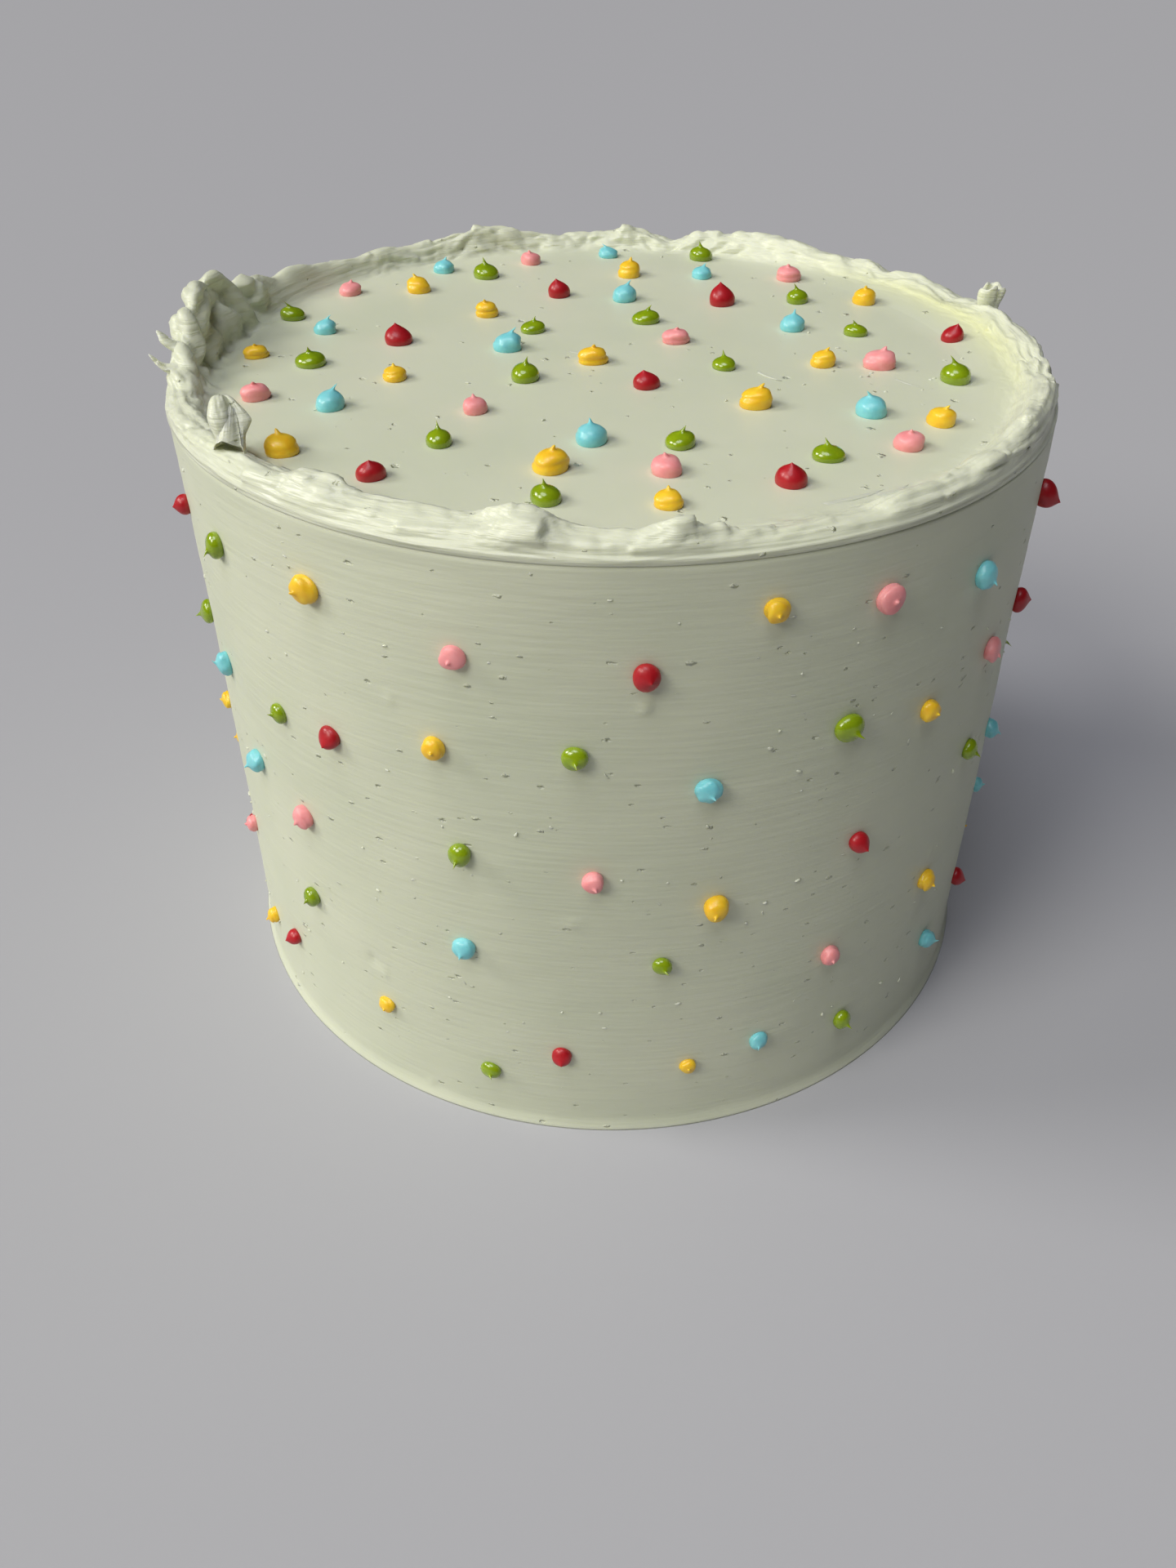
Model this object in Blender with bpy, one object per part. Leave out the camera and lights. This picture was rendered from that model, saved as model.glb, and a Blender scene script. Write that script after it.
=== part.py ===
"""Tall round birthday cake in sage buttercream, with a rough lip round its top and piped dots.

Metres, +Z up. The origin is the centre of the foot, and the photograph looks from -Y.
A bearing is in degrees from +X, counter-clockwise as seen from above.
"""

import math
import random

import bmesh
import bpy
from mathutils import Vector

# The cake's body: a scraped wall on a foot that spreads a little, leaning to the left
FOOT_RADIUS = 0.1010
WALL_RADIUS = 0.1000
TOP_RADIUS = 0.0980
TOP_LEVEL = 0.1500
TOP_LEAN = -0.0007
FOOT_SPREAD_HEIGHT = 0.0035
WAIST = 0.0008
SEGMENTS = 144

# The lip: buttercream pushed up past the top's edge and left as it broke
LIP_RISE = 0.0033
LIP_WIDTH = 0.0092
LIP_LEDGE = 0.0009
CREST_INSET = 0.0034
SMEARED_BEARING = 250
SMEARED_SPREAD = 34
SMEARED_INSET = 0.0030

# Swells of the lip's crest: bearing, reach to each side, rise
LIP_SWELLS = (
    (3, 28, 0.0010),
    (39, 8, -0.0016),
    (64, 16, 0.0026),
    (79, 5, -0.0018),
    (88, 8, 0.0014),
    (99, 3, -0.0012),
    (112, 14, 0.0026),
    (128, 7, 0.0018),
    (149, 15, 0.0026),
    (159, 5, 0.0018),
    (165, 10, 0.0040),
    (175, 15, 0.0100),
    (189, 9, 0.0048),
    (235, 7, 0.0020),
    (249, 13, 0.0009),
    (260, 6, 0.0024),
    (276, 4, 0.0018),
    (291, 18, -0.0014),
    (332, 24, 0.0022),
)

# Where the lip is narrower: bearing, reach to each side, how much
LIP_NARROWINGS = (
    (112, 62, 0.0024),
    (182, 24, 0.0015),
)

# Small lumps of the crest, drawn at random: how many, shortest and longest reach, deepest and highest
LUMP_COUNT = 70
LUMP_REACH = (3.0, 6.5)
LUMP_RISE = (-0.0008, 0.0011)
LUMP_SEED = 8

# The scroll: a flap of buttercream that stands on the lip and folds over the top
SCROLL_BEARING = 217
SCROLL_SLIDE = 4
SCROLL_TURN = 150
SCROLL_STEPS = 8
SCROLL_RADIUS = 0.0915
SCROLL_FOLD = 0.0050
SCROLL_ROOT = 0.0020
SCROLL_RISE = 0.0080
SCROLL_LENGTH = 0.0150
SCROLL_THICKNESS = 0.0048

# The stub: an upright scrap left on the lip at the far right
STUB_BEARING = 16
STUB_WIDTH = 0.0068
STUB_RISE = 0.0102

# The curl: a thin scrap that hangs outside the lip at the left
CURL_BEARING = 190
CURL_LENGTH = 0.0045
CURL_THICKNESS = 0.0018

# Piped dots: widths low and high on the wall and on the top, height by width, share left uneven
DOT_WIDTH_LOW = 0.0045
DOT_WIDTH_HIGH = 0.0056
DOT_WIDTH_TOP = 0.0062
DOT_HEIGHT = 0.72
DOT_UNEVEN = 0.14
DOT_SINK = 0.12
NIB_LEAN = 0.22
DOT_SEED = 5

# Rings of dots on the top: count, radius, bearing of the first, seed
TOP_RINGS = (
    (1, 0.005, 213, 2464),
    (7, 0.023, 178, 9381),
    (12, 0.047, 109, 12219),
    (15, 0.065, 353, 28043),
    (19, 0.079, 182, 30057),
)
TOP_STRAY = 0.0055

# Rows of dots on the wall: count, height, bearing of the first, seed
WALL_ROWS = (
    (25, 0.022, 336, 14936),
    (16, 0.049, 318, 1122),
    (20, 0.076, 338, 2983),
    (25, 0.104, 339, 11520),
    (21, 0.133, 338, 10279),
)
STRAY_ALONG = 4.0
STRAY_UP = 0.0065

ICING_COLOUR = (0.56, 0.60, 0.46, 1.0)


def swell(bearing, centre, reach):
    """A smooth hump: one at its centre, and nothing from its reach on."""
    gap = abs((bearing - centre + 180) % 360 - 180)
    return math.cos(math.pi / 2 * min(gap / reach, 1)) ** 2


def small_lumps():
    """Bearing, reach and rise of each small lump of the crest."""
    draw = random.Random(LUMP_SEED)
    return [(draw.uniform(0, 360), draw.uniform(*LUMP_REACH), draw.uniform(*LUMP_RISE)) for _ in range(LUMP_COUNT)]


def crest_rise(bearing):
    """Height of the lip's crest above the flat top."""
    swells = list(LIP_SWELLS) + small_lumps()
    return LIP_RISE + sum(rise * swell(bearing, centre, reach) for centre, reach, rise in swells)


def wall_radius(bearing, height):
    """The wall tapers to the top, draws in at the left and spreads at its foot."""
    share = height / TOP_LEVEL
    taper = WALL_RADIUS + (TOP_RADIUS - WALL_RADIUS) * share
    waist = WAIST * math.sin(math.pi * share) * swell(bearing, 180, 120)
    spread = (FOOT_RADIUS - WALL_RADIUS) * max(0, 1 - height / FOOT_SPREAD_HEIGHT)
    return taper - waist + spread


def place(bearing, radius, height):
    """A point of the leaning cake."""
    angle = math.radians(bearing)
    lean = TOP_LEAN * min(height / TOP_LEVEL, 1)
    return Vector((radius * math.cos(angle) + lean, radius * math.sin(angle), height))


def lip_width(bearing):
    """The lip's width, less where it was scraped thin."""
    return LIP_WIDTH - sum(less * swell(bearing, centre, reach) for centre, reach, less in LIP_NARROWINGS)


def lip_section(bearing):
    """Distances in from the wall and heights, from the ledge under the lip to the flat top."""
    rise = crest_rise(bearing)
    width = lip_width(bearing)
    inset = CREST_INSET + SMEARED_INSET * swell(bearing, SMEARED_BEARING, SMEARED_SPREAD)
    inner = width - inset
    return (
        (-LIP_LEDGE, TOP_LEVEL),
        (-LIP_LEDGE, TOP_LEVEL + 0.30 * rise),
        (0.35 * inset, TOP_LEVEL + 0.78 * rise),
        (inset, TOP_LEVEL + rise),
        (inset + 0.42 * inner, TOP_LEVEL + 0.80 * rise),
        (inset + 0.78 * inner, TOP_LEVEL + 0.28 * rise),
        (width, TOP_LEVEL),
    )


def cake_section(bearing):
    """Radii and heights from the foot up the wall and over the lip."""
    heights = (0, FOOT_SPREAD_HEIGHT, 0.5 * TOP_LEVEL, TOP_LEVEL - LIP_LEDGE)
    wall = [(wall_radius(bearing, height), height) for height in heights]
    edge = wall_radius(bearing, TOP_LEVEL)
    return wall + [(edge - inset, height) for inset, height in lip_section(bearing)]


def add_rings(shape, rings, closed_ends=True):
    """Skins a stack of rings with quads and closes both ends."""
    made = [[shape.verts.new(point) for point in ring] for ring in rings]
    count = len(made[0])
    for low, high in zip(made, made[1:]):
        for i in range(count):
            j = (i + 1) % count
            shape.faces.new((low[i], low[j], high[j], high[i]))
    if closed_ends:
        shape.faces.new(reversed(made[0]))
        shape.faces.new(made[-1])
    return made


def add_to_point(shape, ring, point):
    """Closes a ring with a fan that meets at one point."""
    tip = shape.verts.new(point)
    for i, corner in enumerate(ring):
        shape.faces.new((corner, ring[(i + 1) % len(ring)], tip))


def new_object(name, shape, collection):
    """Turns a bmesh into an object with its faces out."""
    bmesh.ops.recalc_face_normals(shape, faces=shape.faces)
    mesh = bpy.data.meshes.new(name)
    shape.to_mesh(mesh)
    shape.free()
    made = bpy.data.objects.new(name, mesh)
    collection.objects.link(made)
    return made


def make_body(collection):
    """The wall, the foot, the lip and the flat top as one lathe-like skin."""
    bearings = [360 * i / SEGMENTS for i in range(SEGMENTS)]
    sections = [cake_section(bearing) for bearing in bearings]
    rings = [
        [place(bearing, *section[level]) for bearing, section in zip(bearings, sections)]
        for level in range(len(sections[0]))
    ]
    shape = bmesh.new()
    add_rings(shape, rings)
    return new_object("iced_cake", shape, collection)


def make_scroll(collection):
    """A flap that rises from the lip and hooks inward over the top, narrowing to its tip."""
    shape = bmesh.new()
    rings = []
    for step in range(SCROLL_STEPS):
        share = step / SCROLL_STEPS
        angle = math.radians(SCROLL_TURN * share)
        bearing = SCROLL_BEARING - SCROLL_SLIDE * share
        out = place(bearing, 1, 0).normalized()
        along = Vector((0, 0, 1)).cross(out)
        reach = SCROLL_RADIUS + SCROLL_FOLD * math.cos(angle)
        middle = place(bearing, reach, TOP_LEVEL + SCROLL_ROOT + SCROLL_RISE * math.sin(angle))
        across = out * math.cos(angle) + Vector((0, 0, 1)) * math.sin(angle)
        half = 0.5 * SCROLL_LENGTH * (1 - 0.75 * share)
        thick = 0.5 * SCROLL_THICKNESS * (1 - 0.4 * share)
        ring = []
        for i in range(10):
            turn = 2 * math.pi * i / 10
            ring.append(middle + along * (half * math.cos(turn)) + across * (thick * math.sin(turn)))
        rings.append(ring)
    add_rings(shape, rings)
    return new_object("scroll", shape, collection)


def make_stub(collection):
    """Two stubby lobes side by side, rising from the lip."""
    shape = bmesh.new()
    out = place(STUB_BEARING, 1, 0).normalized()
    along = Vector((0, 0, 1)).cross(out)
    centre = place(STUB_BEARING, TOP_RADIUS - CREST_INSET, TOP_LEVEL)
    rings = []
    for height, width in ((0.2, 0.8), (0.55, 0.85), (0.8, 1.0), (1.0, 0.55)):
        ring = []
        for i in range(10):
            angle = 2 * math.pi * i / 10
            pinch = 1 - 0.25 * math.cos(angle) ** 2
            step = along * (0.42 * math.cos(angle) * pinch * width * STUB_WIDTH)
            step += out * (0.44 * math.sin(angle) * width * STUB_WIDTH)
            ring.append(centre + step + Vector((0, 0, height * STUB_RISE)) + out * (0.0012 * height))
        rings.append(ring)
    add_rings(shape, rings)
    return new_object("stub", shape, collection)


def make_curl(collection):
    """A thin tapering scrap from the lip's outer face, ending in a point."""
    shape = bmesh.new()
    out = place(CURL_BEARING, 1, 0).normalized()
    along = Vector((0, 0, 1)).cross(out)
    root = place(CURL_BEARING, TOP_RADIUS - 0.0015, TOP_LEVEL + 0.0055)
    rings = []
    for share, width in ((0, 1.3), (0.45, 1.0), (0.75, 0.6)):
        middle = root + out * (share * (CURL_LENGTH + 0.0015)) + Vector((0, 0, 0.0012 * share))
        ring = []
        for i in range(6):
            angle = 2 * math.pi * i / 6
            step = along * (0.9 * math.cos(angle)) + Vector((0, 0, 0.6 * math.sin(angle)))
            ring.append(middle + step * (0.5 * width * CURL_THICKNESS))
        rings.append(ring)
    made = add_rings(shape, rings, closed_ends=False)
    shape.faces.new(made[0])
    add_to_point(shape, made[-1], root + out * (CURL_LENGTH + 0.0015) + Vector((0, 0, 0.0022)))
    return new_object("curl", shape, collection)


def add_dot(shape, foot, out, up, width, sides, draw):
    """A piped dot: a low round dome drawn to a small nib that leans to one side."""
    height = DOT_HEIGHT * width * (1 + DOT_UNEVEN * draw.uniform(-1, 1))
    across = up.cross(out)
    turn = draw.uniform(0, 2 * math.pi)
    lean = (across * math.cos(turn) + up * math.sin(turn)) * (NIB_LEAN * width)
    stretch = 1 + 0.5 * DOT_UNEVEN * draw.uniform(-1, 1)
    rings = []
    for level, size, share in ((-DOT_SINK, 0.80, 0), (0.22, 1.0, 0), (0.62, 0.66, 0.25)):
        ring = []
        for i in range(sides):
            angle = turn + 2 * math.pi * i / sides
            step = across * (stretch * math.cos(angle)) + up * math.sin(angle)
            ring.append(foot + step * (0.5 * width * size) + out * (level * height) + lean * share)
        rings.append(ring)
    made = add_rings(shape, rings, closed_ends=False)
    shape.faces.new(reversed(made[0]))
    add_to_point(shape, made[-1], foot + out * height + lean)


def ring_places(count, radius, first, seed):
    """Bearings and radii of a ring of dots that stray from their even places."""
    draw = random.Random(seed)
    for i in range(count):
        turn = math.radians(first + 360 * i / count) + TOP_STRAY * draw.uniform(-1, 1) / max(radius, 0.010)
        yield math.degrees(turn), radius + TOP_STRAY * draw.uniform(-1, 1)


def row_places(count, height, first, seed):
    """Bearings and heights of a row of dots that stray from their even places."""
    draw = random.Random(seed)
    for i in range(count):
        bearing = first - 360 * i / count + STRAY_ALONG * draw.uniform(-1, 1)
        yield bearing, height + STRAY_UP * draw.uniform(-1, 1)


def make_top_dots(collection):
    """Rings of dots on the flat top."""
    shape = bmesh.new()
    draw = random.Random(DOT_SEED)
    for ring in TOP_RINGS:
        for bearing, reach in ring_places(*ring):
            width = DOT_WIDTH_TOP * (1 + DOT_UNEVEN * draw.uniform(-1, 1))
            foot = place(bearing, reach, TOP_LEVEL)
            add_dot(shape, foot, Vector((0, 0, 1)), Vector((0, 1, 0)), width, 8, draw)
    return new_object("top_dots", shape, collection)


def make_wall_dots(collection):
    """Rows of dots round the wall, smaller towards the foot."""
    shape = bmesh.new()
    draw = random.Random(DOT_SEED)
    for row in WALL_ROWS:
        for bearing, height in row_places(*row):
            width = DOT_WIDTH_LOW + (DOT_WIDTH_HIGH - DOT_WIDTH_LOW) * height / TOP_LEVEL
            width *= 1 + DOT_UNEVEN * draw.uniform(-1, 1)
            foot = place(bearing, wall_radius(bearing, height), height)
            out = place(bearing, 1, 0).normalized()
            add_dot(shape, foot, out, Vector((0, 0, 1)), width, 6, draw)
    return new_object("wall_dots", shape, collection)


def icing():
    """Matt sage buttercream."""
    material = bpy.data.materials.new("sage_buttercream")
    material.use_nodes = True
    surface = material.node_tree.nodes["Principled BSDF"]
    surface.inputs["Base Color"].default_value = ICING_COLOUR
    surface.inputs["Roughness"].default_value = 0.45
    surface.inputs["Metallic"].default_value = 0.0
    return material


def fuse(body, additions):
    """Joins what lies on the cake to it as one solid."""
    union = body.modifiers.new("Fused toppings", "BOOLEAN")
    union.operation = "UNION"
    union.operand_type = "COLLECTION"
    union.collection = additions
    union.solver = "EXACT"
    bpy.context.view_layer.objects.active = body
    bpy.ops.object.modifier_apply(modifier=union.name)
    for piece in list(additions.objects):
        bpy.data.objects.remove(piece)
    bpy.data.collections.remove(additions)


for old in list(bpy.data.objects):
    bpy.data.objects.remove(old)

scene = bpy.context.scene
toppings = bpy.data.collections.new("toppings")
scene.collection.children.link(toppings)
cake = make_body(scene.collection)
make_scroll(toppings)
make_stub(toppings)
make_curl(toppings)
make_top_dots(toppings)
make_wall_dots(toppings)
fuse(cake, toppings)
cake.data.materials.clear()
cake.data.materials.append(icing())
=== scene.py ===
"""Looks of a tall round birthday cake in sage buttercream, with a rough lip round its top and piped dots.

Metres, +Z up, the origin at the centre of the foot. A bearing is in degrees from +X, counter-clockwise
as seen from above, and the photograph looks from -Y.
"""
import math
import random

import bmesh
import bpy
import numpy as np
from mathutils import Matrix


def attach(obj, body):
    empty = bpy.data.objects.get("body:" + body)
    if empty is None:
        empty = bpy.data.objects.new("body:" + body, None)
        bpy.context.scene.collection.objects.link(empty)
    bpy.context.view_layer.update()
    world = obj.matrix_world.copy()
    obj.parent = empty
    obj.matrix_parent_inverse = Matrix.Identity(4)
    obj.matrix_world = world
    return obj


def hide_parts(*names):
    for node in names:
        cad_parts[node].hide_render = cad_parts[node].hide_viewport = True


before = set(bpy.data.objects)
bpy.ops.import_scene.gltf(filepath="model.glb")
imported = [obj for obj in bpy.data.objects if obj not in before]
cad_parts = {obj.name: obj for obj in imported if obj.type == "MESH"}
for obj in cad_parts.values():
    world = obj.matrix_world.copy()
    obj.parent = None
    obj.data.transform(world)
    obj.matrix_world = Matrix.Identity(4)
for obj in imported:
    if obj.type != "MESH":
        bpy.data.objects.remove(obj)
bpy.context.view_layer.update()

# The wall of the cake: buttercream laid on thick and scraped round with a tall straight scraper, so it
# is smooth and matt, waves a little, and keeps faint level streaks, small bubbles and a few dragged
# crumbs. It leans a hair to the left, tapers to the top and spreads where it meets what it stands on.
FOOT_RADIUS = 0.1010
WALL_RADIUS = 0.1000
TOP_RADIUS = 0.0980
TOP_LEVEL = 0.1500
TOP_LEAN = -0.0007
FOOT_SPREAD_HEIGHT = 0.0035
WAIST = 0.0008
# The wall stops a little below the flat top, where the lip covers it
LEDGE = 0.0009
WALL_COLUMNS = 840
WALL_ROWS_UP = 108
# Heights of the rings round the spread foot, and where the even rings begin
FOOT_RINGS = (0.0, 0.0004, 0.0010, 0.0018, 0.0027, 0.0036)
EVEN_RINGS_FROM = 0.0046
WALL_WAVE = 0.00022
WALL_STREAK = 0.00005
# Marks left on the wall: bearing, height, half-width, half-height, how far it stands out
WALL_MARKS = (
    (273, 0.1210, 0.0021, 0.0016, 0.0007),
    (244, 0.1160, 0.0028, 0.0012, 0.0004),
    (236, 0.0390, 0.0030, 0.0020, -0.0006),
    (238, 0.0365, 0.0022, 0.0012, 0.0005),
    (265, 0.0670, 0.0036, 0.0012, 0.0004),
    (281, 0.1010, 0.0022, 0.0009, 0.0003),
    (245, 0.0890, 0.0010, 0.0006, -0.0004),
    (244, 0.0040, 0.0020, 0.0009, 0.0005),
    (205, 0.0900, 0.0030, 0.0014, 0.0004),
    (318, 0.0580, 0.0028, 0.0012, 0.0005),
    (352, 0.1060, 0.0030, 0.0012, -0.0005),
    (36, 0.0740, 0.0034, 0.0014, 0.0005),
    (79, 0.0310, 0.0026, 0.0016, -0.0006),
    (118, 0.1120, 0.0032, 0.0012, 0.0005),
    (151, 0.0620, 0.0024, 0.0014, 0.0004),
)


def swell(bearing, centre, reach):
    """A smooth hump: the squared cosine of the gap to its centre, one there, nothing from its reach on."""
    gap = np.abs((bearing - centre + 180) % 360 - 180)
    return np.cos(np.pi / 2 * np.minimum(gap / reach, 1)) ** 2


def relief(along, across, cells, seed):
    """Smooth random relief between about -1 and 1: at each corner of a lattice stands a random slope, and
    the four round a point are blended by the curve 6t^5 - 15t^4 + 10t^3. It closes on itself after
    `cells` cells along."""
    turn = np.random.default_rng(seed).uniform(0, 2 * np.pi, (cells, 512))
    column = np.floor(along).astype(int)
    row = np.floor(across).astype(int)
    u = along - column
    v = across - row
    blend_u = u**3 * (u * (6 * u - 15) + 10)
    blend_v = v**3 * (v * (6 * v - 15) + 10)

    def corner(i, j):
        slope = turn[(column + i) % cells, (row + j) % 512]
        return np.cos(slope) * (u - i) + np.sin(slope) * (v - j)

    low = corner(0, 0) + blend_u * (corner(1, 0) - corner(0, 0))
    high = corner(0, 1) + blend_u * (corner(1, 1) - corner(0, 1))
    return 1.4 * (low + blend_v * (high - low))


def wall_radius(bearing, height):
    """The wall tapers to the top, draws in at the left and spreads at its foot."""
    share = height / TOP_LEVEL
    taper = WALL_RADIUS + (TOP_RADIUS - WALL_RADIUS) * share
    waist = WAIST * np.sin(np.pi * share) * swell(bearing, 180, 120)
    spread = (FOOT_RADIUS - WALL_RADIUS) * np.maximum(0, 1 - height / FOOT_SPREAD_HEIGHT) ** 1.5
    return taper - waist + spread


def place(bearing, radius, height):
    """Points of the leaning cake from bearings, radii and heights."""
    angle = np.radians(bearing)
    lean = TOP_LEAN * np.minimum(height / TOP_LEVEL, 1)
    return np.stack([radius * np.cos(angle) + lean, radius * np.sin(angle), height + 0 * angle], axis=-1)


def wall_surface(bearing, height):
    """The plain wall, plus slow waves, level streaks and a low bump or dent, a squared cosine of the
    distance, at each mark."""
    stand = WALL_WAVE * relief(bearing / 360 * 14, height / 0.040, 14, 1)
    stand += 0.5 * WALL_WAVE * relief(bearing / 360 * 40, height / 0.013, 40, 2)
    stand += WALL_STREAK * relief(bearing / 360 * 30, height / 0.0028, 30, 3)
    for centre, level, half_width, half_height, rise in WALL_MARKS:
        sideways = np.radians((bearing - centre + 180) % 360 - 180) * WALL_RADIUS / half_width
        distance = np.hypot(sideways, (height - level) / half_height)
        ragged = distance * (1 + 0.35 * relief(bearing / 360 * 400, height / 0.0016, 400, 4))
        stand += rise * np.cos(np.pi / 2 * np.minimum(ragged, 1)) ** 2
    fade = np.clip(height / 0.004, 0, 1) * np.clip((TOP_LEVEL - height) / 0.004, 0, 1)
    return place(bearing, wall_radius(bearing, height) + stand * fade, height)


def skinned_mesh(name, stacks):
    """Skins one (rings, sides, 3) stack of rings, or many of the same make: quads between rings that close
    on themselves, and a fan of triangles to the middle of each stack's first ring and of its last."""
    stacks = stacks.reshape(-1, *stacks.shape[-3:])
    count, rings, sides = stacks.shape[:3]
    middles = stacks[:, [0, -1]].mean(axis=2)
    points = np.concatenate([stacks.reshape(count, -1, 3), middles], axis=1)
    here = np.arange(sides)
    ahead = (here + 1) % sides
    start = (np.arange(rings - 1) * sides)[:, None]
    quads = np.stack([start + here, start + ahead, start + sides + ahead, start + sides + here], axis=-1)
    last = (rings - 1) * sides
    low = np.stack([ahead, here, 0 * here + rings * sides], axis=-1)
    high = np.stack([here + last, ahead + last, 0 * here + rings * sides + 1], axis=-1)
    step = (np.arange(count) * points.shape[1])[:, None, None]
    faces = (quads.reshape(-1, 4) + step).reshape(-1, 4).tolist()
    faces += (low + step).reshape(-1, 3).tolist() + (high + step).reshape(-1, 3).tolist()
    mesh = bpy.data.meshes.new(name)
    mesh.from_pydata(points.reshape(-1, 3).tolist(), [], faces)
    mesh.shade_smooth()
    return mesh


def show(mesh, material):
    """Puts a mesh into the scene as a piece that rides with the cake and stands for its solid."""
    mesh.materials.append(material)
    piece = bpy.data.objects.new(mesh.name, mesh)
    bpy.context.scene.collection.objects.link(piece)
    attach(piece, "root")
    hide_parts("iced_cake")


def fill(tree, node, inputs):
    """Sets each named input of a node to a value, or links it to a socket."""
    for key, value in inputs.items():
        if isinstance(value, bpy.types.NodeSocket):
            tree.links.new(value, node.inputs[key])
        else:
            node.inputs[key].default_value = value


def new_node(tree, kind, inputs=None, **settings):
    """Adds a shader node with its settings and its inputs."""
    made = tree.nodes.new(kind)
    for key, value in settings.items():
        setattr(made, key, value)
    fill(tree, made, inputs or {})
    return made


def new_math(tree, operation, first, second):
    """Adds a maths node on two numbers or sockets, and gives its result."""
    return new_node(tree, "ShaderNodeMath", {0: first, 1: second}, operation=operation).outputs["Value"]


def new_range(tree, value, before, after, **settings):
    """Adds a node that takes one span of a value to another span, and gives its result."""
    inputs = {"Value": value, "From Min": before[0], "From Max": before[1]}
    inputs.update({"To Min": after[0], "To Max": after[1]})
    return new_node(tree, "ShaderNodeMapRange", inputs, **settings).outputs["Result"]


def new_blend(tree, share, first, second):
    """Adds a node that goes from the first colour to the second by a share, and gives its result."""
    inputs = {"Factor": share, "A": first, "B": second}
    return new_node(tree, "ShaderNodeMix", inputs, data_type="RGBA").outputs["Result"]


def new_noise(tree, vector, scale, detail, output="Fac"):
    """Adds a noise texture, and gives its value or its colour."""
    inputs = {"Vector": vector, "Scale": scale, "Detail": detail}
    return new_node(tree, "ShaderNodeTexNoise", inputs).outputs[output]


def new_cells(tree, vector, scale):
    """Adds a texture of random cells, and gives the distance from each cell's point and its three random
    numbers."""
    cells = new_node(tree, "ShaderNodeTexVoronoi", {"Vector": vector, "Scale": scale})
    chance = new_node(tree, "ShaderNodeSeparateColor", {"Color": cells.outputs["Color"]})
    return cells.outputs["Distance"], chance.outputs


def new_group(name, inputs, outputs):
    """Starts a shader node group with sockets of the given kinds: gives its tree, the outputs of its input
    node and its output node."""
    group = bpy.data.node_groups.new(name, "ShaderNodeTree")
    for way, sockets in (("INPUT", inputs), ("OUTPUT", outputs)):
        for title, kind in sockets.items():
            group.interface.new_socket(title, in_out=way, socket_type="NodeSocket" + kind)
    return group, group.nodes.new("NodeGroupInput").outputs, group.nodes.new("NodeGroupOutput")


# Drift of colour: two icings never beaten quite even, so the tone drifts in soft clouds
drift, given, result = new_group(
    "colour_drift",
    {"Vector": "Vector", "Light": "Color", "Deep": "Color", "Scale": "Float"},
    {"Colour": "Color"},
)
clouds = new_noise(drift, given["Vector"], given["Scale"], 4.0)
even = new_range(drift, clouds, (0.32, 0.68), (0.0, 1.0))
fill(drift, result, {"Colour": new_blend(drift, even, given["Deep"], given["Light"])})

# Scraper's finish: level streaks, small nicks where a crumb or a bubble caught the scraper's edge, some
# sunk and some raised, and a few dark specks. Scales are per metre, and the sizes of nicks and specks
# are shares of the cell that each stands in.
STREAK_SCALE = (60.0, 60.0, 900.0)
WANDER_SCALE = 900.0
WANDER_REACH = (0.0018, 0.0018, 0.0018)
NICK_SQUEEZE = (1.0, 1.0, 2.2)
NICK_SCALE = 150.0
NICK_CORE = 0.02
NICK_SIZES = (0.04, 0.17)
SPECK_SCALE = 62.0
SPECK_SIZES = (0.012, 0.027)
SPECK_STRENGTH = 0.7
CELLS_WITHOUT_SPECK = 0.78
scraped, given, result = new_group(
    "scraped_relief",
    {"Vector": "Vector", "Streaks": "Float", "Nicks": "Float"},
    {"Height": "Float", "Specks": "Float"},
)
level = new_node(
    scraped, "ShaderNodeVectorMath", {0: given["Vector"], 1: STREAK_SCALE}, operation="MULTIPLY",
)
streak = new_noise(scraped, level.outputs["Vector"], 1.0, 3.0)
squeezed = new_node(
    scraped, "ShaderNodeVectorMath", {0: given["Vector"], 1: NICK_SQUEEZE}, operation="MULTIPLY",
)
wander = new_noise(scraped, given["Vector"], WANDER_SCALE, 2.0, "Color")
shifted = new_node(
    scraped, "ShaderNodeVectorMath", {0: wander, 1: WANDER_REACH, 2: squeezed.outputs["Vector"]},
    operation="MULTIPLY_ADD",
)
distance, chance = new_cells(scraped, shifted.outputs["Vector"], NICK_SCALE)
size = new_range(scraped, chance["Red"], (0.0, 1.0), NICK_SIZES)
mark = new_range(scraped, distance, (NICK_CORE, size), (1.0, 0.0), interpolation_type="SMOOTHSTEP")
side = new_math(scraped, "GREATER_THAN", chance["Green"], 0.5)
nick = new_math(scraped, "MULTIPLY", mark, new_range(scraped, side, (0.0, 1.0), (-1.0, 1.0)))
caught = new_math(scraped, "MULTIPLY", nick, given["Nicks"])
raised = new_math(scraped, "MULTIPLY", streak, given["Streaks"])
distance, chance = new_cells(scraped, shifted.outputs["Vector"], SPECK_SCALE)
rare = new_math(scraped, "GREATER_THAN", chance["Red"], CELLS_WITHOUT_SPECK)
spot = new_range(scraped, distance, SPECK_SIZES, (SPECK_STRENGTH, 0.0))
fill(scraped, result, {
    "Height": new_math(scraped, "ADD", raised, caught),
    "Specks": new_math(scraped, "MULTIPLY", spot, rare),
})

SAGE_LIGHT = (0.700, 0.725, 0.555, 1.0)
SAGE_DEEP = (0.655, 0.690, 0.520, 1.0)
# The whiter tone of icing left as it broke; along the ridge at the lip's foot the same colour is a painted
# highlight
SAGE_FRESH_AND_HIGHLIGHT = (0.765, 0.790, 0.620, 1.0)
# A yellow-green painted glow, where light would shine through the thin fillet at the right
SAGE_PAINTED_GLOW = (0.740, 0.765, 0.455, 1.0)
SPECK = (0.16, 0.24, 0.19, 1.0)
SAGE_DRIFT_SCALE = 28.0

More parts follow.
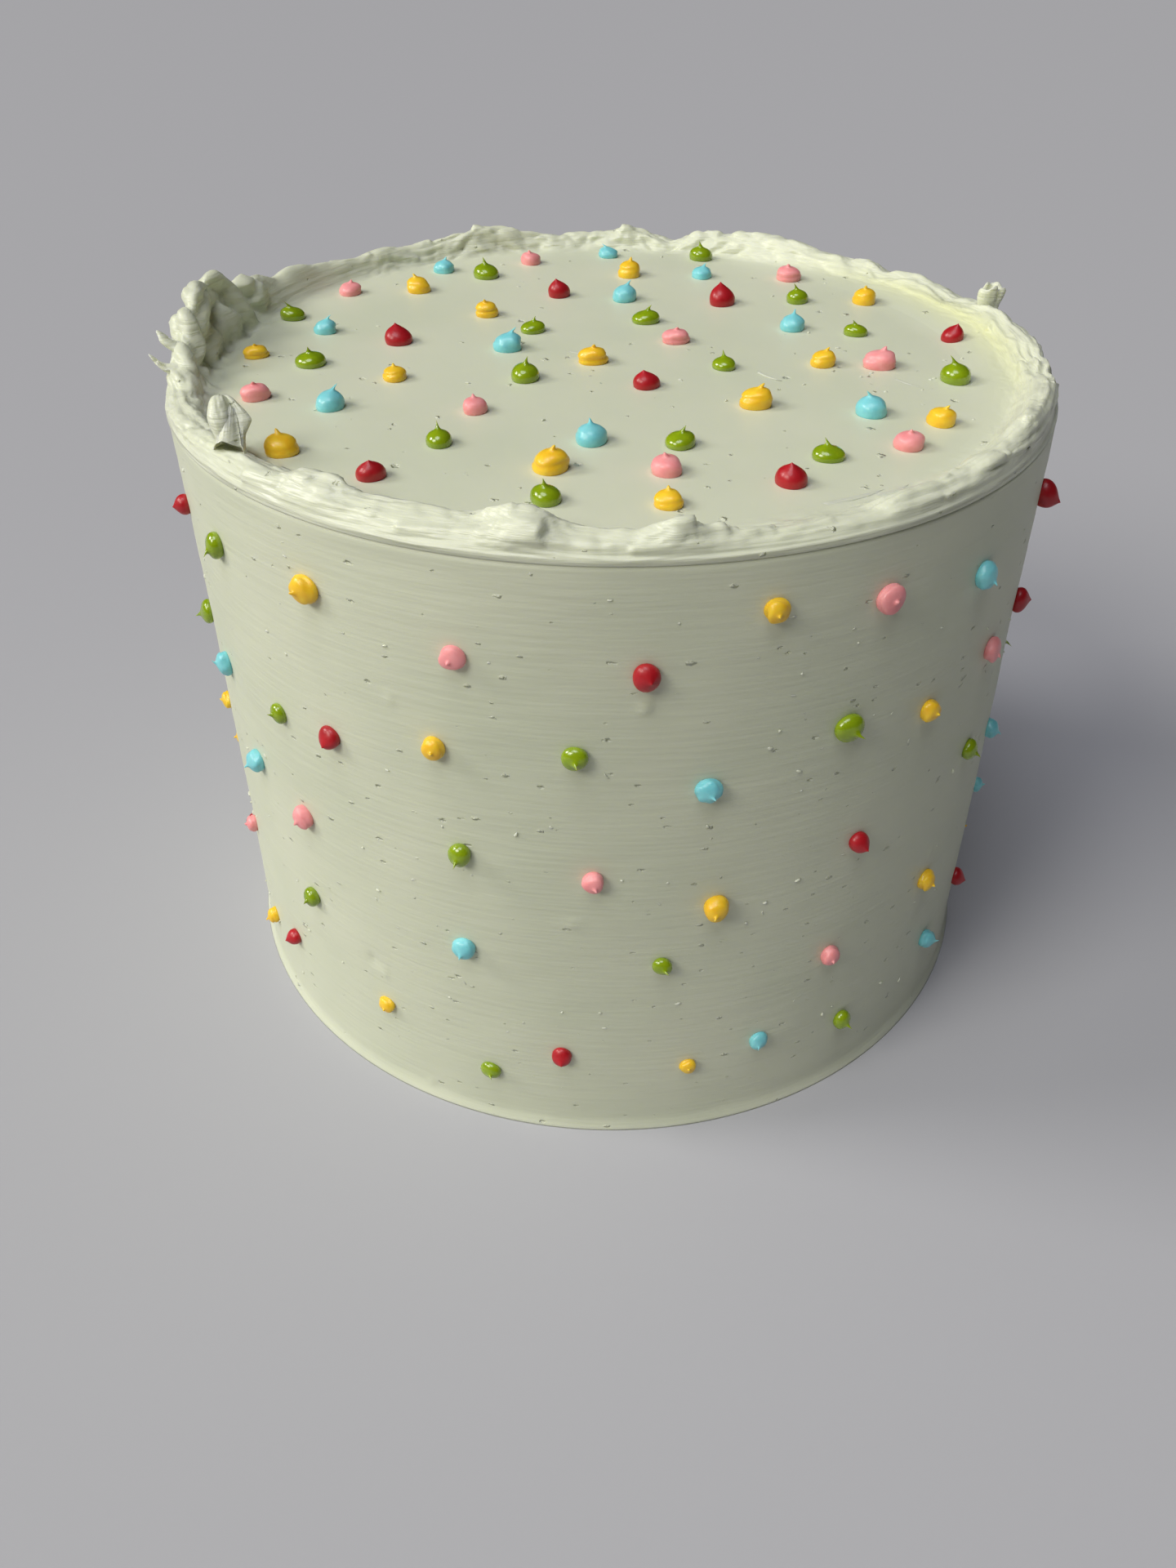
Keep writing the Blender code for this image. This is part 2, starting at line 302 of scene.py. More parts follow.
sage = bpy.data.materials.new("sage_buttercream")
sage.use_nodes = True
tree = sage.node_tree
surface = tree.nodes["Principled BSDF"]
where = new_node(tree, "ShaderNodeTexCoord")
# How much of the whiter broken tone each point takes, and along the ridge at the lip's foot how much painted
# highlight
fresh_and_highlight = new_node(tree, "ShaderNodeAttribute", attribute_name="fresh_and_highlight")
# How much painted glow of light shining through the thin fillet each point takes
thin = new_node(tree, "ShaderNodeAttribute", attribute_name="thin")
base = new_node(
    tree, "ShaderNodeGroup",
    {
        "Vector": where.outputs["Object"], "Light": SAGE_LIGHT, "Deep": SAGE_DEEP,
        "Scale": SAGE_DRIFT_SCALE,
    },
    node_tree=drift,
)
# The whiter broken tone, with a painted highlight along the lip's foot
torn = new_blend(tree, fresh_and_highlight.outputs["Fac"], base.outputs["Colour"], SAGE_FRESH_AND_HIGHLIGHT)
# Then the yellow-green painted glow of light shining through the thin fillet
with_painted_glow = new_blend(tree, thin.outputs["Fac"], torn, SAGE_PAINTED_GLOW)


def by_fresh(scraped_value, broken_value):
    """A value for scraped icing that goes over into another where the icing was left as it broke."""
    return new_range(tree, fresh_and_highlight.outputs["Fac"], (0.0, 1.0), (scraped_value, broken_value))


finish = new_node(
    tree, "ShaderNodeGroup",
    {"Vector": where.outputs["Object"], "Streaks": by_fresh(0.26, 1.50), "Nicks": 1.7},
    node_tree=scraped,
)
shown_specks = new_math(tree, "MULTIPLY", finish.outputs["Specks"], by_fresh(0.85, 0.15))
bump = new_node(
    tree, "ShaderNodeBump", {"Strength": 0.9, "Distance": 0.0005, "Height": finish.outputs["Height"]},
)
fill(tree, surface, {
    "Base Color": new_blend(tree, shown_specks, with_painted_glow, SPECK), "Roughness": by_fresh(0.46, 0.30),
    "Normal": bump.outputs["Normal"], "Metallic": 0.0, "IOR": 1.46, "Subsurface Weight": 0.35,
    "Subsurface Radius": (1.0, 1.0, 0.55), "Subsurface Scale": 0.0016,
})

bearings = np.arange(WALL_COLUMNS) * 360 / WALL_COLUMNS
heights = np.concatenate([FOOT_RINGS, np.linspace(EVEN_RINGS_FROM, TOP_LEVEL - LEDGE, WALL_ROWS_UP)])
wall_mesh = skinned_mesh("icing_wall", wall_surface(bearings[None, :], heights[:, None]))
show(wall_mesh, sage)

# The top: the same buttercream levelled flat, with a lip all round where the wall's icing was pushed up
# past the edge and left as it broke. The lip is smeared in long ridges at the front, torn and lumpy at
# the left, where it folds up into a soft mound, and wide with three ridges at the right.
LIP_RISE = 0.0033
LIP_WIDTH = 0.0092
# How far the lip's foot stands out from the wall
LIP_STEP = 0.00008
CREST_INSET = 0.0034
SMEARED_BEARING = 250
SMEARED_SPREAD = 34
SMEARED_INSET = 0.0030
# Stretches of the lip, each a bearing and a reach to both sides
SOFT_FILLET = (15, 52)
# Where the painted glow of light shining through the thin fillet lies
PAINTED_GLOW_FILLET = (15, 50)
SLOPED_FACE = (268, 52)
BROAD_CREST = (177, 24)
MOUND = (177, 26)
SMEARED_FRONT = (262, 75)
SMEARED_RIGHT = (352, 60)
LUMPY_BACK = (90, 75)
LUMPY_MOUND = (182, 30)
TORN_LEFT = (206, 22)
TORN_FRONT = (270, 18)
RIDGED_RIGHT = (345, 42)
SET_BACK_RIGHT = (350, 50)
CALM_BACK_LEFT = (147, 16)
GREENER_FOOT = (276, 60)
# How far each kind of relief stands out
FILLET_RISE = 0.0013
RIDGE_RISE = 0.00040
THREAD_RISE = 0.00030
FLECK_RISE = 0.0007
LUMP_STAND = 0.00100
FACET_RISE = 0.00042
CRUMBLE_RISE = 0.00085
BIT_RISE = 0.00026
SET_BACK = 0.0011
# Swells of the lip's crest: bearing, reach to each side, rise
LIP_SWELLS = (
    (3, 28, 0.0010),
    (39, 8, -0.0016),
    (64, 16, 0.0026),
    (79, 5, -0.0018),
    (88, 8, 0.0006),
    (99, 3, -0.0012),
    (112, 14, 0.0026),
    (128, 7, 0.0018),
    (149, 15, 0.0024),
    (158, 6, 0.0032),
    (165, 10, 0.0042),
    (175, 15, 0.0100),
    (189, 9, 0.0034),
    (235, 7, 0.0020),
    (249, 13, 0.0009),
    (260, 6, 0.0024),
    (276, 4, 0.0018),
    (291, 18, -0.0014),
    (332, 24, 0.0022),
)
# Small lumps of the crest, drawn at random: how many, shortest and longest reach, deepest and highest
LUMP_COUNT = 70
LUMP_REACH = (3.0, 6.5)
LUMP_RISE = (-0.0008, 0.0011)
LUMP_SEED = 8
LID_COLUMNS = 1272
LIP_ROWS = 62
# Under the lip the skin goes in to the middle over these shares of the radius, and the flat top has
# rings of its own
UNDER_SHARES = (0.35, 0.75, 0.93)
UNDER_DEPTH = 0.0012
TOP_RING_COUNT = 13
# Where the lip is narrower: bearing, reach to each side, how much
LIP_NARROWINGS = ((112, 62, 0.0024), (182, 24, 0.0015))
# Puffs of the mound, drawn as ellipsoid caps: bearing, way up from the ledge, half-length along the lip,
# half-length across it, turn in degrees, how far it stands out
PUFFS = (
    (177.5, 0.0206, 0.0088, 0.0056, 22, 0.0027),
    (184.5, 0.0176, 0.0070, 0.0046, -12, 0.0025),
    (190.5, 0.0145, 0.0056, 0.0038, 10, 0.0020),
    (195.0, 0.0115, 0.0046, 0.0034, -20, 0.0014),
    (192, 0.0185, 0.0044, 0.0034, 30, 0.0015),
    (168.5, 0.0172, 0.0072, 0.0042, -12, 0.0018),
    (161.5, 0.0140, 0.0042, 0.0032, 0, 0.0021),
    (160.0, 0.0180, 0.0040, 0.0034, 30, 0.0014),
    (166.0, 0.0245, 0.0042, 0.0068, 14, 0.0030),
    (172.0, 0.0300, 0.0078, 0.0050, 22, 0.0031),
    (180.0, 0.0296, 0.0078, 0.0054, -18, 0.0028),
    (187.0, 0.0232, 0.0060, 0.0050, -25, 0.0021),
    (181, 0.0110, 0.0080, 0.0040, 5, 0.0014),
    (172, 0.0105, 0.0072, 0.0042, -10, 0.0013),
)
# How far the skin between the puffs is sunk
PUFF_LEVEL = 0.0010
# Deep creases of the mound, between its outer strand and its inner sheet, in the same terms
CREASES = (
    (174.5, 0.0262, 0.0080, 0.0010, 26, 0.0008),
    (181.8, 0.0244, 0.0060, 0.0009, -26, 0.0007),
    (169.5, 0.0222, 0.0048, 0.0010, 60, 0.0007),
)
# Laps, where one smear of the lip ends over the next: bearing of the edge, way up from the ledge,
# half-width, length behind the edge in degrees (negative where it faces the other way), rise
LAPS = (
    (262.5, 0.0078, 0.0034, 9, 0.0016),
    (259.0, 0.0120, 0.0026, 7, 0.0009),
    (277.5, 0.0098, 0.0022, 5, 0.0014),
    (280.6, 0.0090, 0.0026, 3, 0.0009),
    (286.0, 0.0085, 0.0022, 6, 0.0007),
    (271.5, 0.0052, 0.0010, -8, 0.0007),
    (244.0, 0.0072, 0.0016, 12, 0.0005),
    (238.5, 0.0125, 0.0020, 8, 0.0009),
    (235.0, 0.0098, 0.0018, 9, 0.0008),
    (231.0, 0.0078, 0.0016, 8, 0.0007),
    (253.0, 0.0092, 0.0012, 14, 0.0004),
    (226.0, 0.0060, 0.0024, -6, 0.0008),
    (318.0, 0.0082, 0.0020, 9, 0.0008),
    (326.5, 0.0105, 0.0026, -7, 0.0010),
    (334.0, 0.0120, 0.0020, 8, 0.0008),
    (352.0, 0.0138, 0.0018, 8, 0.0010),
    (8.0, 0.0142, 0.0020, -7, 0.0010),
    (87.0, 0.0085, 0.0030, 6, 0.0011),
    (70.5, 0.0095, 0.0026, -8, 0.0009),
    (113.0, 0.0100, 0.0026, 6, 0.0010),
    (121.0, 0.0085, 0.0024, -6, 0.0009),
)
LAP_COUNT = 90
LAP_SEED = 31
# Level ridges: way up from the ledge of the two fine ones at the foot, each with its rise, and of the
# three at the right
FOOT_LINES = ((0.0037, 0.00012), (0.0054, 0.00016))
RIGHT_RIDGES = (0.0064, 0.0084, 0.0104)
RIGHT_RIDGE_RISE = 0.00055


def crest_rise(bearing):
    """Height of the lip's crest above the flat top: an even rise plus humps, the large ones named and
    the small ones drawn at random."""
    draw = random.Random(LUMP_SEED)
    small = tuple(
        (draw.uniform(0, 360), draw.uniform(*LUMP_REACH), draw.uniform(*LUMP_RISE))
        for _ in range(LUMP_COUNT)
    )
    return LIP_RISE + sum(
        rise * swell(bearing, centre, reach) for centre, reach, rise in LIP_SWELLS + small
    )


def spline_weights(count, share):
    """Weights of each of `count` points in a Catmull-Rom curve through them, at each share of the way."""
    along = share * (count - 1)
    step = np.clip(np.floor(along).astype(int), 0, count - 2)
    t = along - step
    rows = np.arange(len(share))
    weights = np.zeros((len(share), count))
    np.add.at(weights, (rows, np.clip(step - 1, 0, count - 1)), -0.5 * t + t**2 - 0.5 * t**3)
    np.add.at(weights, (rows, step), 1 - 2.5 * t**2 + 1.5 * t**3)
    np.add.at(weights, (rows, step + 1), 0.5 * t + 2 * t**2 - 1.5 * t**3)
    np.add.at(weights, (rows, np.clip(step + 2, 0, count - 1)), 0.5 * t**3 - 0.5 * t**2)
    return weights


def lip_width(bearing):
    """The lip's width, less where it was scraped thin."""
    return LIP_WIDTH - sum(less * swell(bearing, centre, reach) for centre, reach, less in LIP_NARROWINGS)


def lip_base(bearing, share):
    """The lip's plain section carried round the cake: a smooth curve from the ledge up the outer face,
    over the crest and down a fillet to the flat top. The fillet is soft at the right, the outer face is
    sloped at the front, and the crest is broad over the mound."""
    rise = crest_rise(bearing)
    width = lip_width(bearing)
    inset = CREST_INSET + SMEARED_INSET * swell(bearing, SMEARED_BEARING, SMEARED_SPREAD)
    inner = width - inset
    soft = FILLET_RISE * swell(bearing, *SOFT_FILLET)
    flat = 0 * rise
    sloped = swell(bearing, *SLOPED_FACE)
    broad = swell(bearing, *BROAD_CREST)
    insets = np.stack([
        flat + 0.0022, flat - 0.00003, flat - LIP_STEP, flat + 4 * LIP_STEP, 0.35 * inset, inset,
        inset + 0.42 * inner, inset + 0.78 * inner, width + 0.0006, width + 0.0040, width + 0.0090,
    ])
    levels = np.stack([
        flat - UNDER_DEPTH, flat - 0.0010, flat - 0.0001, (0.34 - 0.16 * sloped) * rise,
        (0.80 - 0.20 * sloped) * rise, rise, (0.80 + 0.13 * broad) * rise,
        (0.30 + 0.26 * broad) * rise + soft, 0.02 * rise + soft, 0.6 * soft, flat,
    ])
    weights = spline_weights(len(insets), share)
    edge = wall_radius(bearing, TOP_LEVEL)
    return place(bearing[None, :], edge[None, :] - weights @ insets, TOP_LEVEL + weights @ levels)


def outward(points):
    """Unit normals of a closed band: the cross product of the steps round it and the steps up it."""
    around = np.roll(points, -1, axis=1) - np.roll(points, 1, axis=1)
    up = np.gradient(points, axis=0)
    normal = np.cross(around, up)
    return normal / np.linalg.norm(normal, axis=-1, keepdims=True)


def lip_relief(bearing, climb):
    """How far the broken icing stands out, from the bearing and the way up from the ledge: long thin
    ridges where it was smeared, lumps with sharp creases between them, crumbs where it tore, three
    level ridges at the right, and two fine lines at the ledge."""
    turn = bearing / 360
    smear = 0.45 + 0.55 * np.maximum(swell(bearing, *SMEARED_FRONT), swell(bearing, *SMEARED_RIGHT))
    lumpy = 0.25 + 0.75 * np.maximum(swell(bearing, *LUMPY_BACK), swell(bearing, *LUMPY_MOUND))
    torn = 0.15 + 0.85 * np.maximum(swell(bearing, *TORN_LEFT), 0.25 * swell(bearing, *TORN_FRONT))
    wander = climb + 0.0018 * relief(turn * 22, climb / 0.012, 22, 11)
    ridges = 0.5 - 2 * np.abs(relief(turn * 20, wander / 0.0019, 20, 12))
    threads = 0.5 - 2 * np.abs(relief(turn * 34, wander / 0.0008, 34, 13))
    lumps = 2 * np.abs(relief(turn * 56, wander / 0.0052, 56, 14)) - 0.5
    facets = 2 * np.abs(relief(turn * 110, wander / 0.0034, 110, 22)) - 0.5
    warped = turn * 120 + 0.4 * relief(turn * 90, climb / 0.004, 90, 20)
    crumbs = 0.3 - np.abs(relief(warped, climb / 0.0048, 120, 15))
    bits = relief(turn * 300, climb / 0.0021, 300, 16)
    flecks = np.maximum(0, relief(turn * 130, wander / 0.0011, 130, 17) - 0.42)
    stand = smear * (RIDGE_RISE * ridges + THREAD_RISE * threads + FLECK_RISE * flecks)
    broken = torn * (CRUMBLE_RISE * crumbs + BIT_RISE * bits)
    stand += lumpy * (LUMP_STAND * lumps + FACET_RISE * facets) + broken
    stand *= np.clip((climb - 0.0028) / 0.0036, 0, 1)
    for line, rise in FOOT_LINES:
        middle = line + 0.0004 * relief(turn * 30, 0 * climb + line * 1000, 30, 18)
        stand += rise * np.exp(-(((climb - middle) / 0.00035) ** 2))
    for line in RIGHT_RIDGES:
        middle = line + 0.0007 * relief(turn * 12, 0 * climb + line * 1000, 12, 23)
        ridged = RIGHT_RIDGE_RISE * swell(bearing, *RIDGED_RIGHT)
        stand += ridged * np.exp(-(((climb - middle) / 0.00050) ** 2))
    return stand - SET_BACK * swell(bearing, *SET_BACK_RIGHT) * np.clip(1.6 - climb / 0.008, 0, 1)


def lap_relief(bearing, climb):
    """Laps: each rises slowly along the lip and ends in a steep edge, and fades across it as a squared
    cosine. The named ones come first, and small ones are drawn at random."""
    draw = random.Random(LAP_SEED)
    small = [
        (draw.uniform(0, 360), draw.uniform(0.0045, 0.0140), draw.uniform(0.0006, 0.0018),
         draw.choice((-1, 1)) * draw.uniform(4, 13), draw.uniform(0.0002, 0.0006))
        for _ in range(LAP_COUNT)
    ]
    stand = 0 * bearing * climb
    for edge, level, half_width, length, rise in LAPS + tuple(small):
        gap = (bearing - edge - 0.8 * relief(climb / 0.0014, 0 * climb + edge, 64, 19) + 180) % 360 - 180
        run = np.clip(1 + gap / length, 0, 1) * np.clip(1 - gap * math.copysign(1, length) / 0.45, 0, 1)
        drop = (climb - level - 0.00012 * gap) / half_width
        stand += rise * run * np.cos(np.pi / 2 * np.minimum(np.abs(drop), 1)) ** 2
    return stand


def across_ellipse(bearing, climb, centre, level, half_length, half_width, turn):
    """Distances along and across an ellipse that lies on the lip, as shares of its half-length and its
    half-width."""
    along = np.radians((bearing - centre + 180) % 360 - 180) * TOP_RADIUS
    c, s = math.cos(math.radians(turn)), math.sin(math.radians(turn))
    u = (along * c + (climb - level) * s) / half_length
    v = ((climb - level) * c - along * s) / half_width
    return u, v


def puff_relief(bearing, climb):
    """The highest of the mound's ellipsoid caps at each point, so that a crease is left where two of them
    meet, less the deep creases: each a bell curve across, and a parabola along."""
    stand = 0 * bearing * climb
    for *ellipse, rise in PUFFS:
        u, v = across_ellipse(bearing, climb, *ellipse)
        stand = np.maximum(stand, rise * np.maximum(0, 1 - u**2 - v**2) ** 0.7)
    for *ellipse, depth in CREASES:
        u, v = across_ellipse(bearing, climb, *ellipse)
        stand -= depth * np.maximum(0, 1 - u**2) * np.exp(-2.5 * v**2)
    inner = 1 + 0.5 * np.clip((climb - 0.019) / 0.004, 0, 1)
    return stand - PUFF_LEVEL * inner * np.minimum(1, 1.6 * swell(bearing, *MOUND))


lid_bearings = np.arange(LID_COLUMNS) * 360 / LID_COLUMNS
lip_share = np.linspace(0, 1, LIP_ROWS)
lip = lip_base(lid_bearings, lip_share)
climb = np.cumsum(np.linalg.norm(np.diff(lip, axis=0, prepend=lip[:1]), axis=-1), axis=0)
normals = outward(lip)
on_lip = np.clip((lip_share - 0.10) / 0.10, 0, 1) * np.clip((0.90 - lip_share) / 0.16, 0, 1)
around = np.broadcast_to(lid_bearings[None, :], climb.shape)
calm = 1 - 0.85 * swell(around, *CALM_BACK_LEFT)
stand = calm * (lip_relief(around, climb) + lap_relief(around, climb)) + puff_relief(around, climb)
lip = lip + normals * (stand * on_lip[:, None])[..., None]
edge = wall_radius(lid_bearings, TOP_LEVEL)
under = [place(lid_bearings, share * edge, 0 * edge + TOP_LEVEL - UNDER_DEPTH) for share in UNDER_SHARES]
inner = np.hypot(lip[-1, :, 0] - TOP_LEAN, lip[-1, :, 1])
flat_shares = np.linspace(1, 0.03, TOP_RING_COUNT + 1)[1:]
level_top = 0.00012 * np.sin(flat_shares * 9)
flat = [
    place(lid_bearings, share * inner, 0 * inner + TOP_LEVEL + rise)
    for share, rise in zip(flat_shares, level_top)
]
lid_mesh = skinned_mesh("icing_top", np.concatenate([np.stack(under), lip, np.stack(flat)]))


def paint(mesh, name, values):
    """Stores one number for each point of a mesh, for its material to read."""
    layer = mesh.attributes.new(name, "FLOAT", "POINT")
    full = np.zeros(len(mesh.vertices), dtype=np.float32)
    full[: len(values)] = values
    layer.data.foreach_set("value", full)


lip_fresh_and_highlight = on_lip[:, None] * (0.75 + 0.25 * relief(around / 360 * 60, climb / 0.004, 60, 21))
# At the front the lip's foot is smoother and greener, under a painted highlight along its edge
foot_line = 0.0060 + 0.0006 * relief(around / 360 * 18, 0 * climb, 18, 24)
greener = 0.7 * swell(around, *GREENER_FOOT) * np.clip((foot_line - climb) / 0.0010, 0, 1)
lip_fresh_and_highlight = lip_fresh_and_highlight * (1 - greener)
# A pale line all round on the fine ridge at the lip's foot: a painted highlight where the ridge catches the
# light
lip_fresh_and_highlight = np.maximum(lip_fresh_and_highlight, 0.9 * np.exp(-(((climb - 0.0034) / 0.00055) ** 2)))
# A yellow-green painted glow on the thin fillet at the right, where light would shine through it
lip_painted_glow = swell(around, *PAINTED_GLOW_FILLET) * np.clip((lip_share[:, None] - 0.55) / 0.2, 0, 1)
lip_painted_glow = lip_painted_glow * np.clip((0.97 - lip_share[:, None]) / 0.2, 0, 1)
for layer_name, values in (("fresh_and_highlight", lip_fresh_and_highlight), ("thin", lip_painted_glow)):
    below = np.zeros((len(under), LID_COLUMNS))
    above = np.zeros((len(flat), LID_COLUMNS))
    paint(lid_mesh, layer_name, np.concatenate([below, values, above]).ravel())
show(lid_mesh, sage)

# The scroll: a thin flap of the lip's buttercream that the scraper dragged up and let fold over, like a
# hood with its mouth down. It is bright and full on the left, and past its ridge it is only a thin sheet.
SCROLL_MIDDLE = (-0.0734, -0.0570, 0.1568)
SCROLL_TILT = 0.66787
# Sections from the crown to the mouth, seen along the line from which the flap shows its ridge: how high,
# then how far to the right are the left side, the lobe's crest, its shoulder, the crease and the sheet's
# edge, and how far towards the eye are the lobe and the sheet
SCROLL_SECTIONS = np.array([
    (0.0056, -0.0024, -0.0019, -0.0012, -0.0006, 0.0002, 0.0006, 0.0002),
    (0.0050, -0.0031, -0.0022, -0.0008, 0.0000, 0.0011, 0.0017, 0.0006),
    (0.0038, -0.0038, -0.0023, -0.0002, 0.0006, 0.0022, 0.0025, 0.0009),
    (0.0024, -0.0041, -0.0022, 0.0000, 0.0010, 0.0035, 0.0029, 0.0010),
    (0.0011, -0.0041, -0.0021, 0.0001, 0.0013, 0.0044, 0.0031, 0.0010),
    (-0.0003, -0.0036, -0.0018, 0.0002, 0.0017, 0.0040, 0.0029, 0.0011),
    (-0.0016, -0.0029, -0.0014, 0.0004, 0.0021, 0.0034, 0.0023, 0.0011),
    (-0.0026, -0.0024, -0.0010, 0.0008, 0.0023, 0.0033, 0.0016, 0.0011),
    (-0.0036, -0.0026, -0.0008, 0.0012, 0.0026, 0.0034, 0.0022, 0.0013),
    (-0.0046, -0.0030, -0.0007, 0.0015, 0.0029, 0.0037, 0.0032, 0.0017),
])
# Where along the rings the mouth is, and how far its point hangs down
SCROLL_MOUTH = 0.80
SCROLL_TIP = 0.0018
SCROLL_SIDES = 144
SCROLL_RINGS = 72


def ring_weights(count, share):
    """Weights of each of `count` points in a closed Catmull-Rom curve through them, at each share round."""
    padded = spline_weights(count + 3, (1 + share * count) / (count + 2))
    weights = padded[:, 1:count + 1].copy()
    weights[:, -1] += padded[:, 0]
    weights[:, 0] += padded[:, count + 1]
    weights[:, 1] += padded[:, count + 2]
    return weights


def flap_surface(turn, share):
    """Sections stacked from the crown down to the mouth, then back up inside as a hollow that narrows.
    Each is a smooth ring through twelve points: over the lobe, down to the crease, out along the thin
    sheet to its edge, and back behind. The mouth's rim arches at the left and ends in a point."""
    outside = np.minimum(share / SCROLL_MOUTH, 1)
    inside = np.maximum(share - SCROLL_MOUTH, 0) / (1 - SCROLL_MOUTH)
    section = spline_weights(len(SCROLL_SECTIONS), outside) @ SCROLL_SECTIONS
    high, left, crest, shoulder, crease, edge, lobe, sheet = section.T
    across = np.stack([
        left, 0.55 * left + 0.45 * crest, crest, 0.5 * (crest + shoulder), shoulder, crease,
        0.6 * crease + 0.4 * edge, 0.2 * crease + 0.8 * edge, edge, 0.5 * (crease + edge), shoulder,
        0.5 * (left + crest),
    ], axis=1)
    towards = np.stack([
        -0.35 * lobe, 0.70 * lobe, lobe, 0.96 * lobe, 0.80 * lobe, 0.42 * lobe,
        sheet, 0.75 * sheet, 0.10 * sheet, 0.15 * sheet, -0.5 * lobe, -0.9 * lobe,
    ], axis=1)
    weights = ring_weights(12, turn)
    sideways, towards = across @ weights.T, towards @ weights.T
    way = 12 * turn[None]
    down = np.clip(outside * 4 - 3, 0, 1)[:, None]
    halfway = np.clip(4 * outside * (1 - outside) * 1.6, 0, 1)[:, None]
    sharp = 0.00045 * np.exp(-(((way - 5) / 0.45) ** 2)) * halfway
    drop = SCROLL_TIP * np.exp(-(((way - 7.4) / 1.1) ** 2)) * down
    arch = 0.0006 * np.exp(-(((way - 2.6) / 1.2) ** 2)) * down
    middle_side, middle_deep = sideways.mean(axis=1, keepdims=True), towards.mean(axis=1, keepdims=True)
    shrink = 1 - 0.17 * np.minimum(inside * 8, 1)[:, None] - 0.60 * inside[:, None] ** 1.5
    sideways = middle_side + (sideways - middle_side) * shrink
    towards = middle_deep + (towards - sharp - middle_deep) * shrink
    up = high[:, None] - drop + arch + 0.0075 * inside[:, None]
    up += 0.00012 * relief(turn * 14 + 0 * up, 0 * up + share[:, None] * 6, 14, 32)
    towards += 0.00007 * relief(turn * 20 + 0 * up, 0 * up + share[:, None] * 9, 20, 33)
    c, s = math.cos(SCROLL_TILT), math.sin(SCROLL_TILT)
    return np.array(SCROLL_MIDDLE) + np.stack([sideways, up * s - towards * c, up * c + towards * s], axis=-1)


def show_scrap(mesh, fresh_share=1.0):
    """Shows a scrap of the lip's own buttercream, painted all over as left the way it broke."""
    paint(mesh, "fresh_and_highlight", np.full(len(mesh.vertices), fresh_share))
    show(mesh, sage)


flap = flap_surface(np.arange(SCROLL_SIDES) / SCROLL_SIDES, np.linspace(0, 1, SCROLL_RINGS))
show_scrap(skinned_mesh("scroll", flap))

# The stub: an upright scrap on the lip at the far right, like the broken end of a little tube, with two
# lobes and a dark split between them.
STUB_BEARING = 16
STUB_WIDTH = 0.0068
STUB_RISE = 0.0080
STUB_SIDES = 96
STUB_RINGS = 44


def in_the_lip(points, bearing, root):
    """Turns (inward, along, up) distances at a bearing of the lip into places on the cake."""
    angle = math.radians(bearing)
    out = np.array([math.cos(angle), math.sin(angle), 0])
    along = np.array([-math.sin(angle), math.cos(angle), 0])
    level = out * (root[0] - points[..., :1]) + along * points[..., 1:2]
    return level + np.array([0, 0, 1]) * (root[1] + points[..., 2:3])


def stub_surface(turn, share):
    """A cup on a pinched ring: up the outside, over a ragged rim and down into the hollow. The share runs
    from the root at 0 over the rim at 0.6 to the bottom of the hollow at 1."""
    steps = [0, 0.3, 0.45, 0.55, 0.6, 0.68, 0.8, 1]
    outside = np.interp(share, steps, [0.85, 0.80, 0.98, 1.0, 0.90, 0.66, 0.50, 0.22])[:, None]
    height = np.interp(share, steps, [0.10, 0.50, 0.74, 0.92, 1.0, 0.94, 0.74, 0.55])[:, None]
    lobes = 1 - 0.10 * np.cos(2 * turn) + 0.08 * np.cos(3 * turn + 1.0)
    split = 1 - 0.50 * np.exp(-((((turn - 3.6 + np.pi) % (2 * np.pi) - np.pi) / 0.36) ** 2))
    pinched = 1 + (split[None] - 1) * np.clip(height * 2 - 0.7, 0, 1)
    reach = 0.5 * STUB_WIDTH * outside * lobes[None] * pinched
    way_round = turn / (2 * np.pi) * 7 + 0 * share[:, None]
    reach = reach * (1 + 0.05 * relief(way_round, 0 * turn[None] + share[:, None] * 5, 7, 31))
    rim = 0.06 * np.sin(2 * turn + 2.2) + 0.04 * np.sin(5 * turn)
    inward = 0.90 * reach * np.sin(turn)[None] - 0.0012 * height
    along = 0.80 * reach * np.cos(turn)[None]
    up = STUB_RISE * height * (1 + rim[None] * np.clip(height * 2 - 0.9, 0, 1))
    return np.stack([inward, along, up], axis=-1)


stub = stub_surface(np.arange(STUB_SIDES) * 2 * np.pi / STUB_SIDES, np.linspace(0, 1, STUB_RINGS))
stub_root = (TOP_RADIUS - CREST_INSET, TOP_LEVEL)
show_scrap(skinned_mesh("stub", in_the_lip(stub, STUB_BEARING, stub_root)[:, ::-1]))

# The curl: a thin forked scrap that hangs outside the lip at the left, torn off as the scraper came away.
CURL_BEARING = 190
# The path of each horn from its root to its tip: how far inward, along the lip and up
CURL_HORNS = (
    ((0.0030, 0.0000, 0.0030), (0.0006, 0.0004, 0.0036),
     (-0.0012, 0.0002, 0.0044), (-0.0032, -0.0004, 0.0066)),
    ((0.0030, -0.0030, 0.0066), (0.0006, -0.0032, 0.0080),
     (-0.0002, -0.0036, 0.0092), (-0.0012, -0.0044, 0.0102)),
    ((0.0030, 0.0016, 0.0040), (0.0004, 0.0022, 0.0042),
     (-0.0006, 0.0026, 0.0050), (-0.0012, 0.0030, 0.0062)),
)
CURL_THICKNESS = 0.0028
HORN_SIDES = 20
HORN_RINGS = 24


